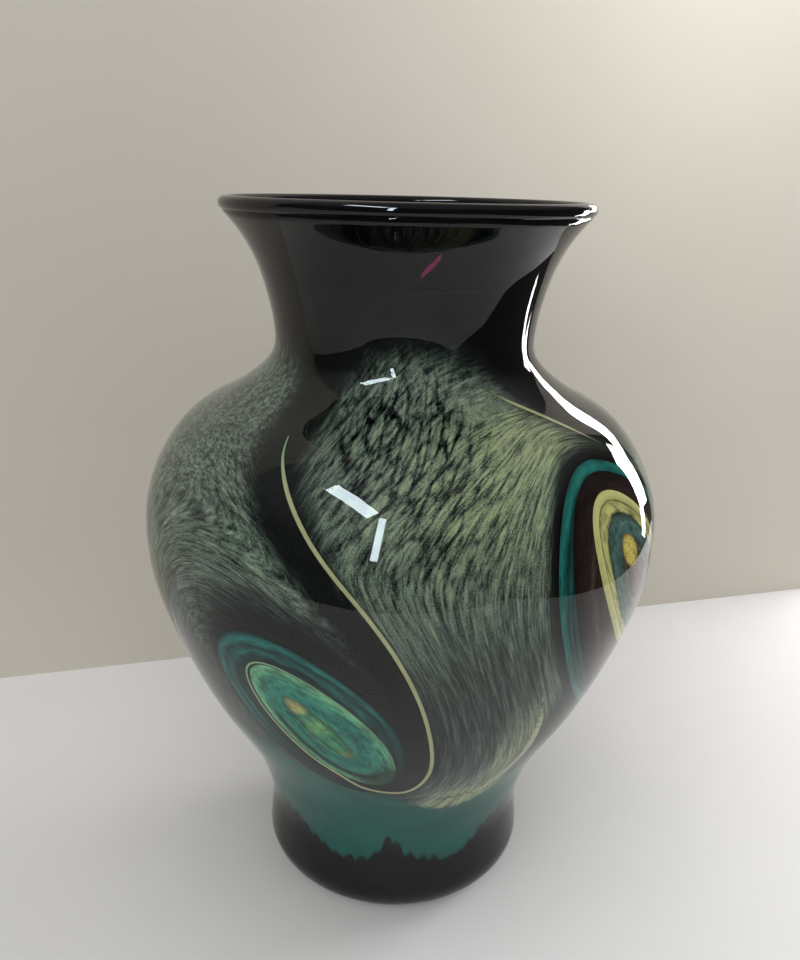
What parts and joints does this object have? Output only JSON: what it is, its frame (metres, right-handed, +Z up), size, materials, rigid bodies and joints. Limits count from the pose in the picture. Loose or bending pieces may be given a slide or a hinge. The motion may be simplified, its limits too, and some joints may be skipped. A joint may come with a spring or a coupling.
{
  "type": "vase",
  "caption": "Blown art glass vase with a flared neck, full shoulders, narrow waist and round foot, with swirled colour and spiral eyes under clear glass, to hold flowers.",
  "frame": {"origin": "centre of the resting ring under the foot", "axes": "+Z up along the vase's axis; -Y towards the side between the two spiral eyes; +X towards the eye high on the shoulder"},
  "size_m": [0.1442, 0.1442, 0.2],
  "materials": {
    "dark_glass": "fire polished, near-black amethyst",
    "frit_glass": "mottled grey-green frit, opaque",
    "teal_glass": "streaked teal, opaque",
    "green_glass": "swirled sea green, opaque",
    "brown_glass": "dark brown, opaque",
    "sage_glass": "grey green, opaque",
    "straw_glass": "pale yellow green, opaque",
    "yellow_glass": "warm yellow, opaque",
    "clear_glass": "clear, fire polished, glossy"
  },
  "bodies": {
    "root": {"inner_vessel": "dark_glass", "frit_coat": "frit_glass", "teal_skirt": "teal_glass", "left_eye_band": "teal_glass", "left_eye_core": "green_glass", "left_eye_heart": "straw_glass", "right_eye_band": "teal_glass", "right_eye_field": "brown_glass", "right_eye_core": "sage_glass", "right_eye_yolk": "yellow_glass", "left_thread": "straw_glass", "right_ring": "yellow_glass", "shoulder_thread": "straw_glass", "feather_thread": "straw_glass", "clear_casing": "clear_glass", "lip_wrap": "dark_glass"}
  },
  "joints": []
}
